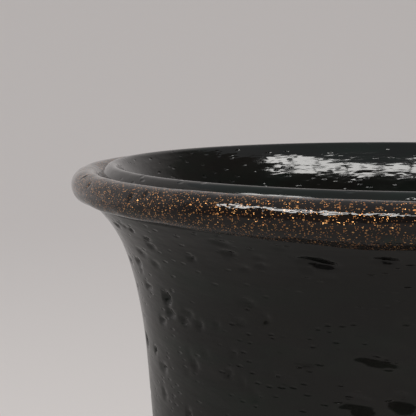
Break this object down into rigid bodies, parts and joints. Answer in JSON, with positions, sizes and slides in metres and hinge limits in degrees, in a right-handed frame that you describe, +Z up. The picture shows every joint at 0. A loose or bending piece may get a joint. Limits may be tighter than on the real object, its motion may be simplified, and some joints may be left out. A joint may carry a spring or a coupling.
{
  "type": "vase",
  "caption": "Footed bell-shaped vase in near-black blown glass, its wide lip wrapped with a round bead of copper-speckled glass.",
  "frame": {"origin": "middle of the ground ring that the foot stands on, in the plane of the table", "axes": "+Z up along the vase's axis of revolution, +X and +Y anywhere round it"},
  "size_m": [0.25, 0.25, 0.255],
  "materials": {
    "dark_glass": "fire-polished gloss",
    "speckled_glass": "fire-polished gloss with copper flecks"
  },
  "bodies": {
    "root": {"foot": "dark_glass", "knop": "dark_glass", "bowl": "dark_glass", "lip_wrap": "speckled_glass"}
  },
  "joints": []
}
